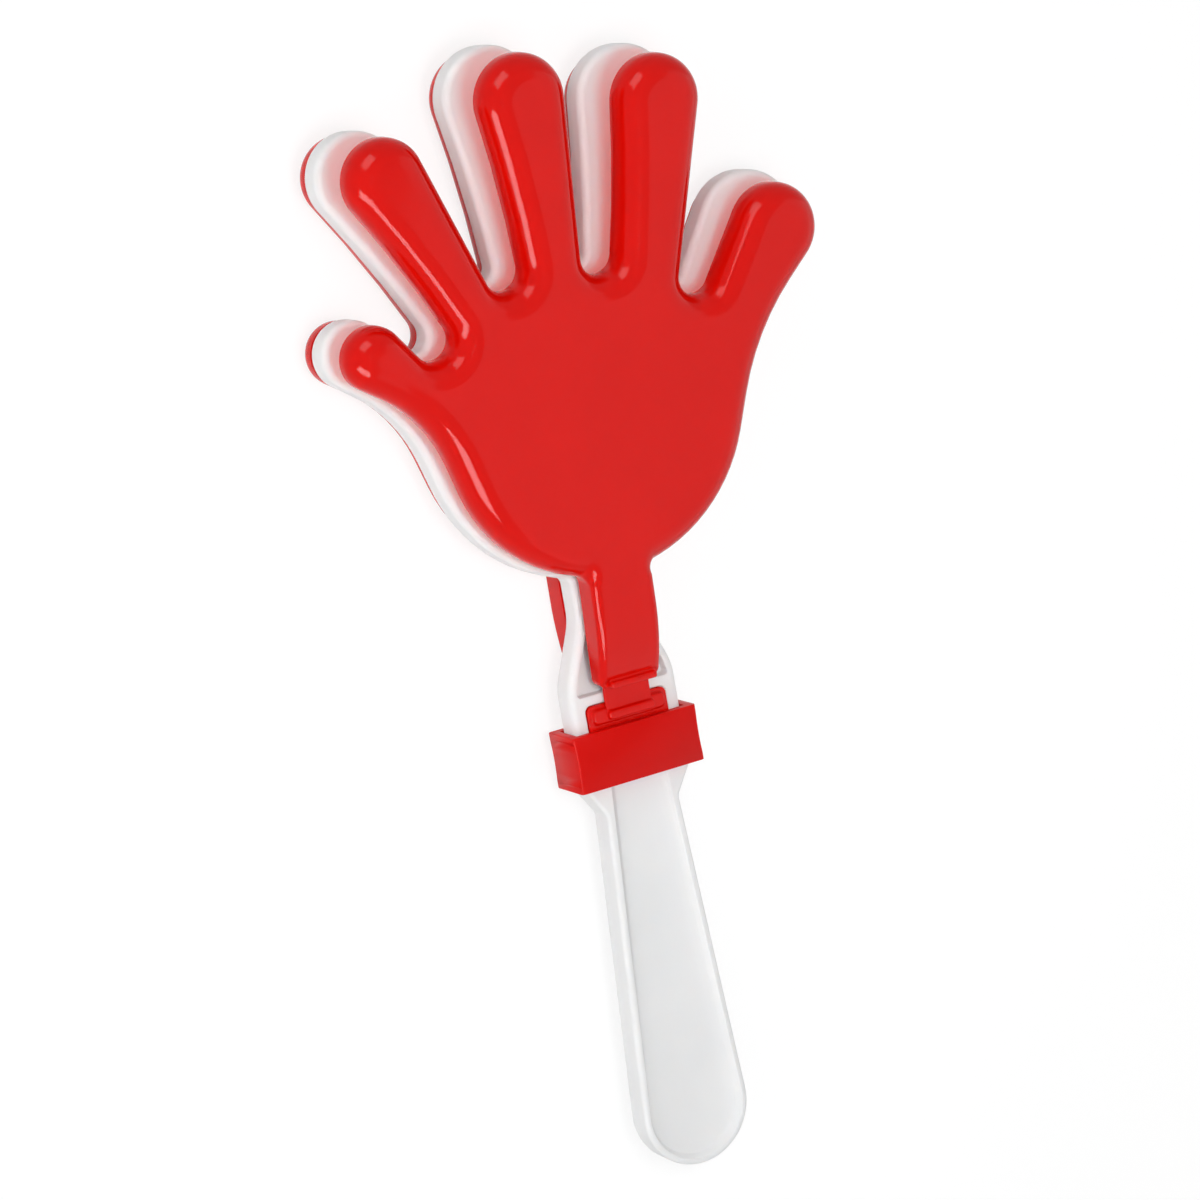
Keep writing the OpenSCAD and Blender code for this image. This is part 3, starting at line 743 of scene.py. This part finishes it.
def floor():
    """White table that fades into the backdrop and keeps a soft shadow."""
    mesh = bmesh.new()
    bmesh.ops.create_grid(mesh, x_segments=1, y_segments=1, size=FLOOR_HALF)
    data = bpy.data.meshes.new("floor")
    mesh.to_mesh(data)
    mesh.free()
    made = bpy.data.objects.new("floor", data)
    made.location.z = -FLOOR_GAP * MM
    bpy.context.scene.collection.objects.link(made)
    material = bpy.data.materials.new("floor")
    material.use_nodes = True
    tree = material.node_tree
    tree.nodes.remove(tree.nodes["Principled BSDF"])
    diffuse = tree.nodes.new("ShaderNodeBsdfDiffuse")
    diffuse.inputs["Color"].default_value = grey(FLOOR_LIT)
    shaded = tree.nodes.new("ShaderNodeBsdfDiffuse")
    shaded.inputs["Color"].default_value = grey(FLOOR_SHADE)
    glow = tree.nodes.new("ShaderNodeEmission")
    glow.inputs["Strength"].default_value = FLOOR_GLOW
    seen = tree.nodes.new("ShaderNodeAddShader")
    tree.links.new(shaded.outputs[0], seen.inputs[0])
    tree.links.new(glow.outputs[0], seen.inputs[1])
    by_ray(tree, diffuse, seen, "Material Output")
    data.materials.append(material)


def surroundings():
    """Room that lights the part more from the left and is seen as white."""
    world = bpy.data.worlds.new("surroundings")
    bpy.context.scene.world = world
    world.use_nodes = True
    tree = world.node_tree
    place = tree.nodes.new("ShaderNodeTexCoord")
    split = tree.nodes.new("ShaderNodeSeparateXYZ")
    tree.links.new(place.outputs["Generated"], split.inputs[0])
    level = tree.nodes.new("ShaderNodeMapRange")
    ends = {"From Min": 1.0, "From Max": -1.0, "To Min": ROOM_RIGHT, "To Max": ROOM_LEFT}
    for socket, value in ends.items():
        level.inputs[socket].default_value = value
    tree.links.new(split.outputs["X"], level.inputs["Value"])
    lit = tree.nodes["Background"]
    tree.links.new(level.outputs["Result"], lit.inputs["Color"])
    backdrop = tree.nodes.new("ShaderNodeBackground")
    backdrop.inputs["Color"].default_value = grey(1.0)
    by_ray(tree, lit, backdrop, "World Output")


def softbox(name, azimuth, elevation, size, radiance, distance, roll=0.0, glossy=True, diffuse=True):
    """Lamp that faces the palm from an azimuth, counted from +X, and an elevation.

    Angles are degrees and lengths metres. A lamp can be left out of reflections or of diffuse light.
    """
    a, e = math.radians(azimuth), math.radians(elevation)
    towards = Vector((math.cos(a) * math.cos(e), math.sin(a) * math.cos(e), math.sin(e)))
    data = bpy.data.lights.new(name, "AREA")
    data.shape = "RECTANGLE"
    data.size, data.size_y = size
    data.energy = radiance * math.pi * data.size * data.size_y
    lamp = bpy.data.objects.new(name, data)
    aimed = towards.to_track_quat("Z", "Y").to_matrix().to_4x4()
    rolled = Matrix.Rotation(math.radians(roll), 4, "Z")
    lamp.matrix_world = Matrix.Translation(towards * distance) @ aimed @ rolled
    lamp.visible_camera = False
    lamp.visible_glossy = glossy
    lamp.visible_diffuse = diffuse
    bpy.context.scene.collection.objects.link(lamp)


def camera():
    """Camera that sees the clapper as the photo does."""
    right = Vector((0.8685, -0.1693, 0.4658))
    up = Vector((0.2426, 0.9647, -0.1015))
    back = Vector((-0.4322, 0.2012, 0.8790))
    place = PLACE @ Vector((-429.2, 236.4, 872.4))
    data = bpy.data.cameras.new("camera")
    data.lens = 123.6
    data.sensor_width = 36.0
    made = bpy.data.objects.new("camera", data)
    made.matrix_world = Matrix.Translation(place) @ Matrix((right, up, back)).transposed().to_4x4()
    bpy.context.scene.collection.objects.link(made)
    bpy.context.scene.camera = made


build_clapper()
floor()
surroundings()
softbox("left_softbox", azimuth=-145, elevation=37, size=(0.66, 0.26), radiance=17.5,
        distance=0.8, roll=30, diffuse=False)
softbox("back_softbox", azimuth=119, elevation=36, size=(0.42, 0.42), radiance=6.2,
        distance=0.8, diffuse=False)
softbox("right_panel", azimuth=-28, elevation=32, size=(2.0, 1.3), radiance=1.0,
        distance=1.0, diffuse=False)
softbox("low_softbox", azimuth=180, elevation=15, size=(1.6, 0.6), radiance=0.7,
        distance=1.2, glossy=False)
softbox("key_softbox", azimuth=172, elevation=77, size=(0.12, 0.12), radiance=19.0,
        distance=0.5, glossy=False)
camera()
bpy.context.scene.view_settings.view_transform = "Standard"
